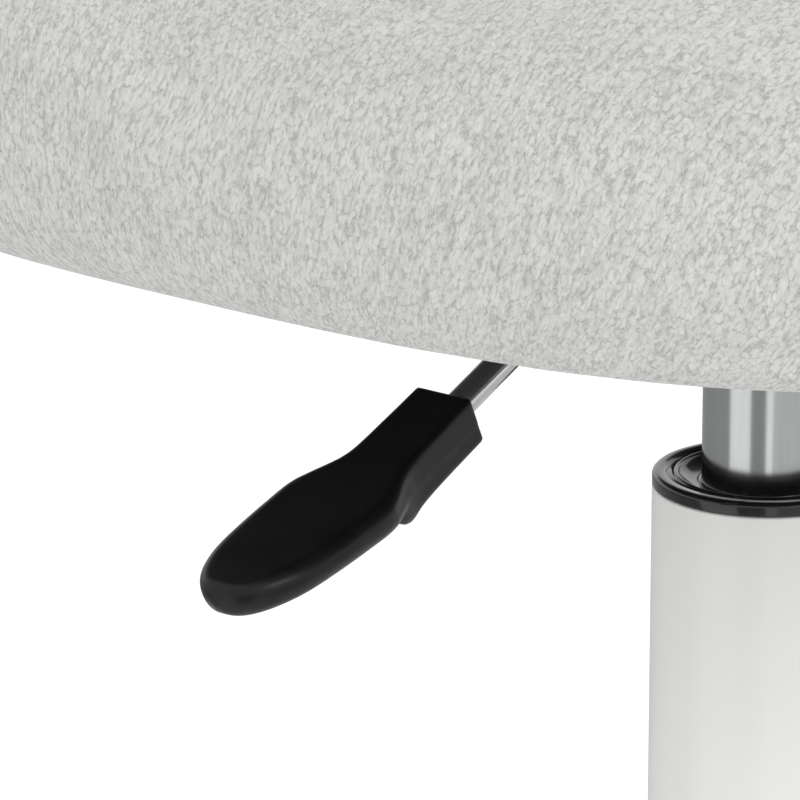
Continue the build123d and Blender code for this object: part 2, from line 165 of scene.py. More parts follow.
def lathe(name: str, profile: Profile, steps: int = 96, closed: bool = True) -> Piece:
    """Turn a profile about Z by extruding and resizing a circle, ring after ring.

    Args:
        name: Name of the piece.
        profile: (radius, height) points in metres, none with radius 0.
        steps: Corners of the circle.
        closed: True joins the last ring to the first; False caps both ends.

    Returns:
        The new object.
    """
    deselect()
    first_radius, first_height = profile[0]
    bpy.ops.mesh.primitive_circle_add(vertices=steps, radius=first_radius, fill_type="NOTHING",
                                      location=(0, 0, first_height))
    piece = bpy.context.object
    bpy.ops.object.transform_apply(location=True)
    bpy.ops.object.mode_set(mode="EDIT")
    bpy.ops.mesh.select_all(action="SELECT")
    if not closed:
        bpy.ops.mesh.edge_face_add()
    radius, height = first_radius, first_height
    rings = list(profile[1:]) + ([profile[0]] if closed else [])
    for next_radius, next_height in rings:
        bpy.ops.mesh.extrude_region_move(
            TRANSFORM_OT_translate={"value": (0, 0, next_height - height)})
        share = next_radius / radius
        bpy.ops.transform.resize(value=(share, share, 1), center_override=(0, 0, next_height))
        radius, height = next_radius, next_height
    bpy.ops.object.mode_set(mode="OBJECT")
    clean(piece)
    piece.name = name
    return piece


def arc(centre: tuple[float, float], radius: float, start_deg: float, end_deg: float,
        steps: int = 6) -> list[tuple[float, float]]:
    """Points of a circular arc in a turned profile.

    Args:
        centre: (radius, height) of the arc's centre.
        radius: The arc's own radius.
        start_deg: First angle, 0 pointing outwards and 90 up.
        end_deg: Last angle.
        steps: Pieces that the arc is divided into.

    Returns:
        The points, ends included.
    """
    points = []
    for step in range(steps + 1):
        angle = math.radians(start_deg + (end_deg - start_deg) * step / steps)
        points.append((centre[0] + radius * math.cos(angle), centre[1] + radius * math.sin(angle)))
    return points


@dataclass(frozen=True)
class Section:
    """Rounded rectangle across a lofted piece, at a distance along it."""

    along: float
    half_width: float
    low: float
    high: float
    corner: float

    def point(self, quarter: int, share: float) -> tuple[float, float]:
        """Point of the outline.

        Args:
            quarter: Corner 0 to 3, counted from +across +up.
            share: 0 to 1 round that corner.

        Returns:
            Place across and up.
        """
        half_height = (self.high - self.low) / 2
        corner = min(self.corner, self.half_width, half_height)
        angle = (quarter + share) * math.pi / 2
        side = 1 if quarter in (0, 3) else -1
        rise = 1 if quarter in (0, 1) else -1
        across = side * (self.half_width - corner) + corner * math.cos(angle)
        up = (self.low + self.high) / 2 + rise * (half_height - corner) + corner * math.sin(angle)
        return across, up


def between(points: Sequence[Sequence[float]], place: float) -> list[float]:
    """Smooth values between key rows, each with its place first.

    Args:
        points: Rows of (place, value, value, ...), in order.
        place: Where to read.

    Returns:
        The values there, on a Catmull-Rom curve.
    """
    last = len(points) - 1
    index = next((i for i in range(last) if place <= points[i + 1][0]), last - 1)
    before, start, end, after = (points[max(0, min(last, index + k))] for k in (-1, 0, 1, 2))
    share = max(0.0, min(1.0, (place - start[0]) / (end[0] - start[0])))
    values = []
    for k in range(1, len(start)):
        lead = (end[k] - before[k]) / (end[0] - before[0]) * (end[0] - start[0])
        trail = (after[k] - start[k]) / (after[0] - start[0]) * (end[0] - start[0])
        square, cube = share ** 2, share ** 3
        values.append(start[k] * (2 * cube - 3 * square + 1) + lead * (cube - 2 * square + share)
                      + end[k] * (3 * square - 2 * cube) + trail * (cube - square))
    return values


def loft(name: str, sections: Sequence[Section], place: Matrix, corner_steps: int = 8) -> Piece:
    """Piece through a row of sections, made by extruding one ring after another.

    Args:
        name: Name of the piece.
        sections: The sections in order.
        place: Matrix whose X runs along the piece, Y across it and Z up.
        corner_steps: Vertices round each corner of a section.

    Returns:
        The new object, closed at both ends.
    """
    steps = 4 * corner_steps
    piece = lathe(name, [(10 * MM, k * MM) for k in range(len(sections))], steps, closed=False)
    for vert in piece.data.vertices:
        section = sections[round(vert.co.z / MM)]
        slot = round(math.atan2(vert.co.y, vert.co.x) / (2 * math.pi) * steps) % steps
        quarter, step = divmod(slot, corner_steps)
        across, up = section.point(quarter, step / (corner_steps - 1))
        vert.co = place @ Vector((section.along, across, up))
    clean(piece)
    return piece


def join(first: Piece, *others: Piece) -> Piece:
    """Join pieces into the first one.

    Args:
        first: Piece that stays.
        others: Pieces that go into it.

    Returns:
        The first piece.
    """
    deselect()
    for item in (first, *others):
        item.select_set(True)
    bpy.context.view_layer.objects.active = first
    bpy.ops.object.join()
    return first


def copies(piece: Piece, places: Iterable[Matrix]) -> Piece:
    """Repeat a piece at several places, each with its own mesh, and join them.

    Args:
        piece: The first one, in its own space; it is used up.
        places: Where each copy goes.

    Returns:
        One object that holds them all.
    """
    made = []
    for place in places:
        twin = piece.copy()
        twin.data = piece.data.copy()
        twin.data.transform(place)
        bpy.context.scene.collection.objects.link(twin)
        made.append(twin)
    take(piece)
    bpy.ops.object.delete()
    return join(made[0], *made[1:])


def fuse(piece: Piece, voxel: float, rounds: int) -> None:
    """Melt overlapping shells into one skin with soft inner corners.

    Args:
        piece: Object with closed, overlapping shells.
        voxel: Grid size of the skin.
        rounds: Passes of smoothing.
    """
    apply_modifier(piece, "REMESH", mode="VOXEL", voxel_size=voxel)
    apply_modifier(piece, "SMOOTH", factor=0.5, iterations=rounds)


def cut(piece: Piece, tool: Piece) -> None:
    """Cut the tool's shape out of the piece and delete the tool.

    Args:
        piece: Object to cut.
        tool: Closed object that is removed from it.
    """
    apply_modifier(piece, "BOOLEAN", operation="DIFFERENCE", solver="EXACT", object=tool)
    take(tool)
    bpy.ops.object.delete()


def dress(piece: Piece, material: bpy.types.Material) -> None:
    """Give the whole piece one material.

    Args:
        piece: The object.
        material: Its finish.
    """
    piece.data.materials.clear()
    piece.data.materials.append(material)
    for polygon in piece.data.polygons:
        polygon.material_index = 0


def seat_piece(piece: Piece, finishes: "Finishes", slot: Slot, body: str, *nodes: str) -> None:
    """Dress a finished piece, hang it on its body and hide the CAD nodes it replaces.

    Args:
        piece: The finished object.
        finishes: The materials to choose from.
        slot: The record's slot of its finish.
        body: CAD body it moves with.
        nodes: CAD nodes it replaces, if any.
    """
    dress(piece, finishes.of(slot))
    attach(piece, body)
    if nodes:
        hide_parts(*nodes)
    log.info("%s: %d faces on %s", piece.name, len(piece.data.polygons), body)


# ------ finishes


class Nodes:
    """Short forms for wiring one material's node tree."""

    def __init__(self, name: str) -> None:
        """Start a material with a Principled shader.

        Args:
            name: Name of the material.
        """
        self.material = bpy.data.materials.new(name)
        self.material.use_nodes = True
        self.tree = self.material.node_tree
        self.shader = self.tree.nodes["Principled BSDF"]

    def set(self, **values: object) -> None:
        """Set constants on the shader; underscores stand for spaces in socket names."""
        for key, value in values.items():
            self.shader.inputs[key.replace("_", " ")].default_value = value

    def add(self, kind: str, **settings: object) -> bpy.types.Node:
        """Add a node and set its properties."""
        node = self.tree.nodes.new(kind)
        for key, value in settings.items():
            setattr(node, key, value)
        return node

    def link(self, source: Socket, target: Socket) -> None:
        """Join two sockets."""
        self.tree.links.new(source, target)

    def place(self, scale: Point = (1, 1, 1), uv: str = "") -> Socket:
        """Coordinates in millimetres, of the object or of a UV map.

        Args:
            scale: Extra scale along each axis.
            uv: Name of a UV map; empty for Object coordinates.

        Returns:
            The vector socket.
        """
        if uv:
            source = self.add("ShaderNodeUVMap", uv_map=uv).outputs["UV"]
        else:
            source = self.add("ShaderNodeTexCoord").outputs["Object"]
        mapping = self.add("ShaderNodeMapping")
        mapping.inputs["Scale"].default_value = [s / MM for s in scale]
        self.link(source, mapping.inputs["Vector"])
        return mapping.outputs["Vector"]

    def noise(self, vector: Socket, per_mm: float, detail: float = 3.0,
              rough: float = 0.5, bend: float = 0.0) -> Socket:
        """Noise value with a given number of features to the millimetre."""
        node = self.add("ShaderNodeTexNoise")
        node.inputs["Scale"].default_value = per_mm
        node.inputs["Detail"].default_value = detail
        node.inputs["Roughness"].default_value = rough
        node.inputs["Distortion"].default_value = bend
        self.link(vector, node.inputs["Vector"])
        return node.outputs["Fac"]

    def cells(self, vector: Socket, per_mm: float, spread: float = 1.0) -> bpy.types.Node:
        """Voronoi cells with a given number to the millimetre."""
        node = self.add("ShaderNodeTexVoronoi")
        node.inputs["Scale"].default_value = per_mm
        node.inputs["Randomness"].default_value = spread
        self.link(vector, node.inputs["Vector"])
        return node

    def remap(self, value: Socket, low: float, high: float, to_low: float,
              to_high: float) -> Socket:
        """Value carried from one range to another, clamped."""
        node = self.add("ShaderNodeMapRange")
        for key, number in zip(("From Min", "From Max", "To Min", "To Max"), (low, high, to_low, to_high)):
            node.inputs[key].default_value = number
        self.link(value, node.inputs["Value"])
        return node.outputs["Result"]

    def maths(self, operation: str, first: object, second: object = 0.0) -> Socket:
        """One arithmetic step on sockets or numbers."""
        node = self.add("ShaderNodeMath", operation=operation)
        for socket, value in zip(node.inputs, (first, second)):
            if isinstance(value, Socket):
                self.link(value, socket)
            else:
                socket.default_value = value
        return node.outputs["Value"]

    def blend(self, share: Socket, first: object, second: object) -> Socket:
        """Colour mix of two sockets or colours."""
        node = self.add("ShaderNodeMix", data_type="RGBA")
        for socket, value in ((node.inputs[0], share), (node.inputs[6], first), (node.inputs[7], second)):
            if isinstance(value, Socket):
                self.link(value, socket)
            else:
                socket.default_value = (*value, 1.0)
        return node.outputs[2]

    def bump(self, height: Socket, distance_mm: float, strength: float = 1.0) -> Socket:
        """Bump from a height value; returns the normal."""
        node = self.add("ShaderNodeBump")
        node.inputs["Distance"].default_value = distance_mm * MM
        node.inputs["Strength"].default_value = strength
        self.link(height, node.inputs["Height"])
        return node.outputs["Normal"]

    def finish(self, colour: Socket | None = None, roughness: Socket | None = None,
               normal: Socket | None = None) -> bpy.types.Material:
        """Wire the results to the shader and return the material."""
        for name, socket in (("Base Color", colour), ("Roughness", roughness), ("Normal", normal)):
            if socket is not None:
                self.link(socket, self.shader.inputs[name])
        return self.material


@dataclass(frozen=True)
class ChenilleWeave:
    """Light warm-grey upholstery weave of soft tufted yarn."""

    light: Point = (0.75, 0.75, 0.73)
    mean: Point = (0.60, 0.602, 0.587)
    # Tone of the painted shade in the gaps between the tufts.
    gap_shade_tone: Point = (0.29, 0.292, 0.284)
    uv: str = "cloth"
    tuft_length: float = 1.5
    tuft_width: float = 0.95

    def build(self) -> bpy.types.Material:
        """Make the material."""
        n = Nodes("chenille_weave")
        n.set(Roughness=0.95, Sheen_Weight=0.2, Sheen_Roughness=0.6, Specular_IOR_Level=0.1)
        plain = n.place(uv=self.uv)
        bend = n.add("ShaderNodeCombineXYZ")
        n.link(n.maths("MULTIPLY", n.noise(plain, 0.25, detail=3, rough=0.6), 3.2), bend.inputs["X"])
        n.link(n.maths("MULTIPLY", n.noise(plain, 0.45, detail=3, rough=0.6), 2.4), bend.inputs["Y"])
        warp = n.add("ShaderNodeVectorMath", operation="ADD")
        n.link(n.place(scale=(1 / self.tuft_length, 1 / self.tuft_width, 1), uv=self.uv), warp.inputs[0])
        n.link(bend.outputs["Vector"], warp.inputs[1])
        tufts = n.cells(warp.outputs["Vector"], 1.0, spread=0.85)
        shade = n.add("ShaderNodeSeparateColor")
        n.link(tufts.outputs["Color"], shade.inputs["Color"])
        fuzz = n.noise(n.place(scale=(1.0, 2.0, 1), uv=self.uv), 1.6, detail=4, rough=0.7, bend=0.6)
        streaks = n.noise(n.place(scale=(0.2, 1.0, 1), uv=self.uv), 0.5, detail=4, rough=0.62)
        patches = n.noise(plain, 0.05, detail=2)
        tone = n.maths("MULTIPLY", shade.outputs["Red"], 0.22)
        for share, source in ((0.45, fuzz), (0.85, streaks), (0.25, patches)):
            tone = n.maths("ADD", tone, n.maths("MULTIPLY", source, share))
        colour = n.blend(n.remap(tone, 0.66, 0.98, 0, 1), self.mean, self.light)
        # Painted shade: the gaps between tufts, most where the fuzz is low, are darkened towards the gap shade
        # tone, just where the bump sinks them.
        gap_shade_mask = n.maths("MULTIPLY", n.remap(tufts.outputs["Distance"], 0.46, 0.80, 0, 1),
                       n.remap(fuzz, 0.60, 0.40, 0.2, 1.0))
        colour = n.blend(n.maths("MULTIPLY", gap_shade_mask, 0.8), colour, self.gap_shade_tone)
        dome = n.remap(tufts.outputs["Distance"], 0.0, 0.85, 1.0, 0.0)
        height = n.maths("ADD", dome, n.maths("MULTIPLY", fuzz, 0.9))
        return n.finish(colour, normal=n.bump(height, 0.5, 0.9))


@dataclass(frozen=True)
class PowderCoat:
    """Satin powder coat on steel with its faint orange peel."""

    name: str
    colour: Point
    roughness: float = 0.32
    peel_mm: float = 0.012

    def build(self) -> bpy.types.Material:
        """Make the material."""
        n = Nodes(self.name)
        n.set(Specular_IOR_Level=0.5, Coat_Weight=0.15, Coat_Roughness=0.2)
        place = n.place()
        tint = n.remap(n.noise(place, 0.02, detail=2), 0.3, 0.7, 0, 1)
        colour = n.blend(tint, tuple(0.97 * c for c in self.colour), self.colour)
        rough = n.remap(n.noise(place, 0.05), 0.3, 0.7, self.roughness - 0.04, self.roughness + 0.05)
        return n.finish(colour, rough, n.bump(n.noise(place, 0.9, detail=1), self.peel_mm))


@dataclass(frozen=True)
class Metal:
    """Metal with fine marks running round or along the piece."""

    name: str
    colour: Point
    roughness: float
    marks: Point = (1.0, 1.0, 0.02)
    marks_mm: float = 0.002
    cloud: float = 0.03

    def build(self) -> bpy.types.Material:
        """Make the material."""
        n = Nodes(self.name)
        n.set(Metallic=1.0)
        marks = n.noise(n.place(scale=self.marks), 3.0, detail=3)
        cloud = n.noise(n.place(), 0.06, detail=2)
        rough = n.remap(cloud, 0.3, 0.7, max(0.02, self.roughness - self.cloud), self.roughness + self.cloud)
        colour = n.blend(n.remap(marks, 0.3, 0.7, 0, 1), tuple(0.93 * c for c in self.colour), self.colour)
        return n.finish(colour, rough, n.bump(marks, self.marks_mm))


@dataclass(frozen=True)
class Plastic:
    """Moulded plastic with a fine grain and faint flow clouds."""

    name: str
    colour: Point
    roughness: float
    grain_per_mm: float = 2.5
    grain_mm: float = 0.01
    coat: float = 0.0
    shine: float = 0.4

    def build(self) -> bpy.types.Material:
        """Make the material."""
        n = Nodes(self.name)
        n.set(Coat_Weight=self.coat, Coat_Roughness=0.08, Specular_IOR_Level=self.shine)
        place = n.place()
        grain = n.noise(place, self.grain_per_mm, detail=2)
        cloud = n.noise(place, 0.08, detail=3)
        rough = n.remap(cloud, 0.3, 0.7, self.roughness - 0.05, self.roughness + 0.06)
        lighter = tuple(1.25 * c + 0.002 for c in self.colour)
        colour = n.blend(n.remap(cloud, 0.35, 0.7, 0, 1), self.colour, lighter)
        return n.finish(colour, rough, n.bump(grain, self.grain_mm))


@dataclass(frozen=True)
class Plywood:
    """Birch plywood with grain on its faces."""

    def build(self) -> bpy.types.Material:
        """Make the material."""
        n = Nodes("birch_plywood")
        n.set(Roughness=0.6)
        grain = n.noise(n.place(scale=(0.06, 1.0, 1.0)), 0.5, detail=5, rough=0.6)
        plies = n.noise(n.place(scale=(0.01, 0.01, 1.0)), 0.7, detail=1)
        share = n.maths("ADD", n.maths("MULTIPLY", grain, 0.7), n.maths("MULTIPLY", plies, 0.3))
        colour = n.blend(n.remap(share, 0.3, 0.7, 0, 1), (0.42, 0.26, 0.12), (0.68, 0.50, 0.30))
        return n.finish(colour, normal=n.bump(grain, 0.05))


@dataclass(frozen=True)
class OpenFoam:
    """Open-cell polyurethane foam."""

    def build(self) -> bpy.types.Material:
        """Make the material."""
        n = Nodes("open_foam")
        n.set(Roughness=0.95)
        cells = n.cells(n.place(), 1.2)
        colour = n.blend(cells.outputs["Distance"], (0.80, 0.72, 0.48), (0.62, 0.54, 0.34))
        return n.finish(colour, normal=n.bump(cells.outputs["Distance"], 0.3))


@dataclass(frozen=True)
class PressedCloth:
    """Black non-woven cloth with its pressed dot pattern."""

    def build(self) -> bpy.types.Material:
        """Make the material."""
        n = Nodes("pressed_cloth")
        n.set(Roughness=0.9, Sheen_Weight=0.2)
        place = n.place(scale=(0.9, 0.9, 0.02))
        dots = n.cells(place, 1.0, spread=0.0)
        fibres = n.noise(n.place(), 1.5, detail=5, rough=0.7, bend=1.5)
        pit = n.remap(dots.outputs["Distance"], 0.2, 0.35, 0, 1)
        colour = n.blend(pit, (0.006, 0.006, 0.007), (0.022, 0.022, 0.023))
        colour = n.blend(n.remap(fibres, 0.45, 0.7, 0, 0.5), colour, (0.05, 0.05, 0.052))
        return n.finish(colour, normal=n.bump(pit, 0.12))


@dataclass(frozen=True)
class Finishes:
    """Every finish of the stool, by the record's slot name."""

    made: dict[str, bpy.types.Material] = field(default_factory=dict)

    def build(self) -> None:
        """Make all materials."""
        recipes = {
            "fabric": ChenilleWeave(),
            "foam": OpenFoam(),
            "dust_cloth": PressedCloth(),
            "plywood": Plywood(),
            "white_paint": PowderCoat("white_powder_coat", (0.80, 0.805, 0.785)),
            "chrome": Metal("bright_chrome", (0.55, 0.56, 0.565), 0.17, cloud=0.02),
            "polished_steel": Metal("polished_steel", (0.60, 0.595, 0.59), 0.16, marks=(0.05, 1, 1)),
            "zinc_steel": Metal("zinc_plated_steel", (0.56, 0.57, 0.58), 0.34, marks=(1, 1, 1),
                                marks_mm=0.006),
            "black_steel": PowderCoat("black_powder_coat", (0.012, 0.012, 0.013), 0.42, 0.02),
            "gloss_black": Plastic("gloss_black_plastic", (0.006, 0.0065, 0.0065), 0.14, coat=0.4),
            "satin_black": Plastic("satin_black_plastic", (0.004, 0.0045, 0.0045), 0.34, grain_mm=0.012,
                                   shine=0.26),
            "caster_black": Plastic("caster_nylon", (0.012, 0.012, 0.012), 0.4),
            "rubber": Plastic("black_rubber", (0.015, 0.015, 0.015), 0.7, grain_mm=0.03),
            "brass": Metal("turned_brass", (0.72, 0.52, 0.22), 0.25),
        }
        for slot, recipe in recipes.items():
            self.made[slot] = recipe.build()

    def of(self, slot: Slot) -> bpy.types.Material:
        """The material of a slot."""
        return self.made[slot.value]

    def dress_frame(self) -> None:
        """Give every CAD node the finish of its slot."""
        for entry in frame["record"]["subparts"]:
            dress(frame["nodes"][entry["node"]], self.made[entry["material_slot"]])


# ------ seat


@dataclass
class SeatCushion:
    """Foam seat covered in one pulled-over fabric, swollen by a cloth simulation."""

    finishes: Finishes
    exponent: float = 2.8
    lower_round: float = 18 * MM
    upper_round: float = 34 * MM
    start_inset: float = 0.2 * MM
    ring_count: int = 128
    voxel: float = 5 * MM
    pressure: float = 4.0
    cap: float = 7 * MM
    half_width: float = field(init=False)
    bottom: float = field(init=False)
    top: float = field(init=False)

    def __post_init__(self) -> None:
        """Take the seat's size from the frame."""
        low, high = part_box("seat_cover")
        self.half_width = (high.x - low.x) / 2
        self.bottom = low.z + 0.3 * MM
        self.top = high.z

    def section(self) -> list[tuple[float, float]]:
        """Half section from the underside's middle to the top's middle, slightly undersized."""
        wide = self.half_width - self.start_inset
        high = self.top - self.start_inset
        low_arc = arc((wide - self.lower_round, self.bottom + self.lower_round), self.lower_round, -90, 0, 6)
        high_arc = arc((wide - self.upper_round, high - self.upper_round), self.upper_round, 0, 90, 8)
        return [(wide * 0.5, self.bottom)] + low_arc + high_arc + [(wide * 0.6, high), (wide * 0.3, high)]

    def plan_reach(self, angle: float) -> float:
        """Reach of the rounded-square plan at an angle, for a half width of 1."""
        total = abs(math.cos(angle)) ** self.exponent + abs(math.sin(angle)) ** self.exponent
        return total ** (-1 / self.exponent)

    def form(self) -> Piece:
        """Model the plain cushion form before it swells."""
        form = lathe("cushion_form", self.section(), self.ring_count, closed=False)
        for vert in form.data.vertices:
            reach = self.plan_reach(math.atan2(vert.co.y, vert.co.x))
            vert.co.x *= reach
            vert.co.y *= reach
        clean(form)
        return form

    def swell(self, piece: Piece) -> None:
        """Remesh the form and blow it up like a stuffed cover, held flat where the board is.

        Args:
            piece: The plain form.
        """
        apply_modifier(piece, "REMESH", mode="VOXEL", voxel_size=self.voxel)
        rest = [v.co.copy() for v in piece.data.vertices]
        held = piece.vertex_groups.new(name="held")
        limit = self.bottom + 2.5 * MM
        held.add([v.index for v in piece.data.vertices if v.co.z < limit], 1.0, "REPLACE")
        take(piece)
        modifier = piece.modifiers.new("Cloth", "CLOTH")
        cloth = modifier.settings
        cloth.quality = 6
        cloth.mass = 0.4
        cloth.tension_stiffness = 25
        cloth.compression_stiffness = 25
        cloth.shear_stiffness = 10
        cloth.bending_stiffness = 2
        cloth.use_pressure = True
        cloth.uniform_pressure_force = self.pressure
        cloth.vertex_group_mass = "held"
        cloth.effector_weights.gravity = 0
        modifier.collision_settings.use_collision = False
        scene = bpy.context.scene
        for number in range(1, 21):
            scene.frame_set(number)
        graph = bpy.context.evaluated_depsgraph_get()
        swollen = [v.co.copy() for v in piece.evaluated_get(graph).data.vertices]
        take(piece)
        bpy.ops.object.modifier_remove(modifier="Cloth")
        scene.frame_set(1)
        most = 0.0
        for vert, start, end in zip(piece.data.vertices, rest, swollen):
            move = end - start
            most = max(most, move.length)
            if move.length > self.cap:
                move *= self.cap / move.length
            vert.co = start + move
        log.info("cushion swelled by up to %.1f mm before the cap", most / MM)

    def lay_weave(self, piece: Piece) -> None:
        """Write a UV map, in metres, of the cloth as it was pulled from the top down over the side.

        Args:
            piece: The finished cushion.
        """
        box = [v.co for v in piece.data.vertices]
        top = max(c.z for c in box)
        upper, lower = self.upper_round, self.lower_round
        quarter = math.pi / 2
        flat = []
        for co in box:
            angle = math.atan2(co.y, co.x)
            edge = self.half_width * self.plan_reach(angle)
            reach = co.xy.length
            if co.z > top - upper and reach > edge - upper:
                bend = math.atan2(reach - (edge - upper), max(co.z - (top - upper), 1e-6))
                run = edge - upper + upper * bend
            elif co.z > self.bottom + lower:
                over_edge = edge - upper + upper * quarter + (top - upper - co.z)
                run = over_edge if reach > edge - upper else reach
            else:
                side = edge - upper + upper * quarter + (top - upper - self.bottom - lower)
                bend = math.atan2(self.bottom + lower - co.z, max(reach - (edge - lower), 1e-6))
                run = side + lower * min(bend, quarter)
                if reach < edge - lower:
                    run = side + lower * quarter + edge - lower - reach
            flat.append((run * math.cos(angle), run * math.sin(angle)))
        layer = piece.data.uv_layers.new(name="cloth")
        for loop in piece.data.loops:
            layer.data[loop.index].uv = flat[loop.vertex_index]

    def build(self) -> None:
        """Model the cushion and put it on the seat."""
        piece = self.form()
        self.swell(piece)
        apply_modifier(piece, "SMOOTH", factor=0.5, iterations=4)
        apply_modifier(piece, "SUBSURF", levels=1, render_levels=1)
        self.lay_weave(piece)
        settle(piece, "seat_cushion", 60)
        seat_piece(piece, self.finishes, Slot.FABRIC, "seat", "seat_cover", "seat_foam")


@dataclass
class Underside:
    """Dust cover's staples and the folded edge round it."""

    finishes: Finishes
    cushion: SeatCushion
    inset: float = 5 * MM
    pitch: float = 21 * MM
    crown_length: float = 10 * MM
    wire: float = 0.55 * MM
    hem_radius: float = 1.1 * MM

    def rim(self, half_width: float, angle: float) -> Vector:
        """Point of the rounded-square line with this half width."""
        reach = half_width * self.cushion.plan_reach(angle)
        return Vector((reach * math.cos(angle), reach * math.sin(angle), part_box("dust_cover")[0].z))

    def stations(self, half_width: float) -> list[Matrix]:
        """Places at an even pitch along the rim, each with X along it and Z up."""
        fine = 720
        line = [self.rim(half_width, 2 * math.pi * k / fine) for k in range(fine + 1)]
        length = sum((b - a).length for a, b in zip(line, line[1:]))
        count = round(length / self.pitch)
        places, walked, due = [], 0.0, 0.0
        for start, end in zip(line, line[1:]):
            step = (end - start).length
            if walked + step >= due and len(places) < count:
                spot = start.lerp(end, (due - walked) / step)
                turn = math.atan2(end.y - start.y, end.x - start.x)
                skew = math.radians(5) * math.sin(7.3 * len(places))
                places.append(Matrix.Translation(spot) @ Matrix.Rotation(turn + skew, 4, "Z"))
                due += length / count
            walked += step
        return places

    def staples(self) -> None:
        """Row of staples pressed into the dust cover."""
        half = self.crown_length / 2
        along = [(-half, 0.5), (-half * 0.94, 0.85), (-half * 0.8, 1),
                 (half * 0.8, 1), (half * 0.94, 0.85), (half, 0.5)]
        sections = [Section(x, self.wire * s, -self.wire * s, 0.1 * MM, 0.3 * MM) for x, s in along]
        staple = loft("staple", sections, Matrix.Identity(4), 3)
        row = copies(staple, self.stations(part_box("dust_cover")[1].x - self.inset))
        settle(row, "dust_cover_staples", 40)
        seat_piece(row, self.finishes, Slot.ZINC_STEEL, "seat")

    def hem(self) -> None:
        """Folded edge of the dust cover, a soft round line along its rim."""
        half_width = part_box("dust_cover")[1].x - self.hem_radius
        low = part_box("dust_cover")[0].z
        profile = [(1 + self.hem_radius * x, self.hem_radius * 0.45 * y)
                   for x, y in arc((0, 0), 1, 0, 330, 11)]
        ring = lathe("hem", profile, 240)
        for vert in ring.data.vertices:
            angle = math.atan2(vert.co.y, vert.co.x)
            out = vert.co.xy.length - 1
            spot = self.rim(half_width + out, angle)
            pucker = 0.18 * MM * math.sin(2 * math.pi * self.cushion.half_width * angle / self.pitch)
            vert.co = (spot.x, spot.y, low + vert.co.z + pucker)
        settle(ring, "dust_cover_hem", 60)
        seat_piece(ring, self.finishes, Slot.DUST_CLOTH, "seat")

    def build(self) -> None:
        """Model the staples and the hem."""
        self.hem()
        self.staples()


# ------ column


@dataclass
class Column:
    """White outer tube, black bushing collar and bright gas cylinder."""

    finishes: Finishes
    steps: int = 160

    def tube(self) -> None:
        """Outer tube with a rolled top edge and its taper into the hub."""
        low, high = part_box("outer_tube")
        hub_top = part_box("star_base")[1].z
        radius = high.x
        wall = 1.5 * MM
        foot = radius - (hub_top - low.z) * COLUMN_TAPER
        profile = [(foot, low.z), (radius, hub_top), (radius, high.z - 0.6 * MM)]
        profile += arc((radius - 0.6 * MM, high.z - 0.6 * MM), 0.6 * MM, 0, 90, 4)[1:]
        profile += [(radius - wall, high.z), (radius - wall, hub_top), (foot - wall, low.z)]
        piece = settle(lathe("column_tube", profile, self.steps), "column_tube")
        seat_piece(piece, self.finishes, Slot.WHITE_PAINT, "base", "outer_tube")

    def collar(self) -> None:
        """Bushing with a rounded flange, a groove, a raised ring and a dished middle."""
        low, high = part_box("guide_bushing")
        flange = high.x
        top = high.z
        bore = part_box("pressure_cylinder")[1].x + 0.05 * MM
        sleeve = flange - 1.5 * MM
        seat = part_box("outer_tube")[1].z
        profile = [(bore, low.z), (sleeve, low.z), (sleeve, seat), (flange - 0.2 * MM, seat)]
        profile += arc((flange - 0.3 * MM, seat + 0.3 * MM), 0.3 * MM, -60, 0, 2)
        profile += arc((flange - 1.1 * MM, top - 1.1 * MM), 1.1 * MM, 0, 90, 6)
        profile += [(flange - 2.6 * MM, top), (flange - 2.9 * MM, top - 0.15 * MM),
                    (flange - 3.4 * MM, top - 0.9 * MM), (flange - 4.3 * MM, top - 0.9 * MM)]
        profile += arc((flange - 5.3 * MM, top - 0.7 * MM), 0.6 * MM, 10, 170, 6)
        profile += [(flange - 6.3 * MM, top - 1.3 * MM), (flange - 8.6 * MM, top - 2.1 * MM),
                    (bore + 0.9 * MM, top - 2.3 * MM), (bore + 0.5 * MM, top - 1.9 * MM),
                    (bore, top - 1.9 * MM)]
        piece = settle(lathe("column_collar", profile, self.steps), "column_collar", 50)
        seat_piece(piece, self.finishes, Slot.GLOSS_BLACK, "base", "guide_bushing")

    def cylinder(self) -> None:
        """Bright pressure cylinder, straight and then tapered into the seat's sleeve."""
        low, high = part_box("pressure_cylinder")
        radius = high.x
        taper_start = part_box("mechanism_sleeve")[0].z
        tip = radius - (high.z - taper_start) * COLUMN_TAPER
        wall = 1.6 * MM
        profile = [(radius - 1 * MM, low.z), (radius, low.z + 1.5 * MM), (radius, taper_start - 0.2 * MM),
                   (tip, high.z - 0.6 * MM), (tip - 0.5 * MM, high.z), (9 * MM, high.z),
                   (9 * MM, high.z - 3 * MM), (radius - wall, high.z - 3 * MM), (radius - wall, low.z)]
        piece = settle(lathe("gas_cylinder", profile, self.steps), "gas_cylinder")
        seat_piece(piece, self.finishes, Slot.CHROME, "seat", "pressure_cylinder")

    def build(self) -> None:
        """Make the three visible pieces of the column."""
        self.tube()
        self.collar()
        self.cylinder()


